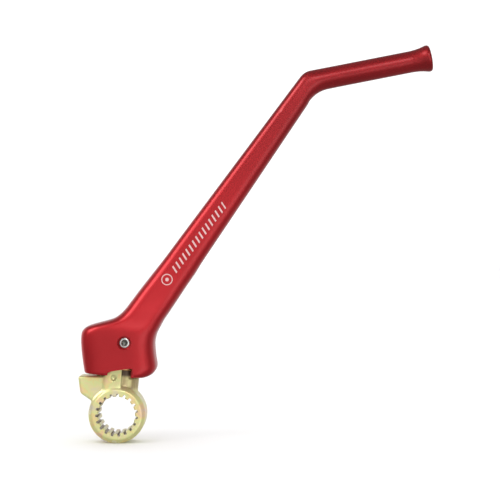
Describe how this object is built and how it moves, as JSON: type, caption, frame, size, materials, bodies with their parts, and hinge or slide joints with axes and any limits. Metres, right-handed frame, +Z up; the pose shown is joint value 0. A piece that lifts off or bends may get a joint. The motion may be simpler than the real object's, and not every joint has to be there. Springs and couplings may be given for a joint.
{
  "type": "folding kick-start lever",
  "caption": "Folding kick-start lever: splined steel knuckle with a pivot post, and a one-piece aluminium lever with a foot peg that folds round it.",
  "frame": {"origin": "centre of the splined bore, half way along the ring's width", "axes": "+Y along the kick shaft towards the engine, +Z up the pivot post, +X the way the folded arm and foot peg lean"},
  "size_m": [0.1826, 0.03, 0.2395],
  "materials": {
    "red_anodised": "satin bead-blasted, red anodised",
    "yellow_zinc": "yellow zinc plated forging",
    "bronze": "machined sintered bronze",
    "bright_steel": "bright zinc plated",
    "spring_steel": "oiled spring wire",
    "nitrile": "matt black rubber"
  },
  "bodies": {
    "knuckle": {"knuckle": "yellow_zinc", "thrust_washer": "bronze"},
    "lever": {"lever_arm": "red_anodised", "lower_bush": "bronze", "upper_bush": "bronze", "dust_seal": "nitrile", "retaining_screw": "bright_steel", "detent_spring": "spring_steel", "detent_plug_screw": "bright_steel"},
    "ball": {"detent_ball": "bright_steel"}
  },
  "joints": [
    {"name": "lever_fold", "type": "hinge", "parent": "knuckle", "child": "lever", "pos_m": [0, 0, 0.04], "axis": [0, 0, 1], "range_deg": [-100, 0]},
    {"name": "ball_travel", "type": "slide", "parent": "lever", "child": "ball", "axis": [1, 0, 0], "range_m": [0, 0.00085], "stiffness_N_per_m": 8000, "springref_m": 0.003, "deforming": ["detent_spring"]}
  ]
}
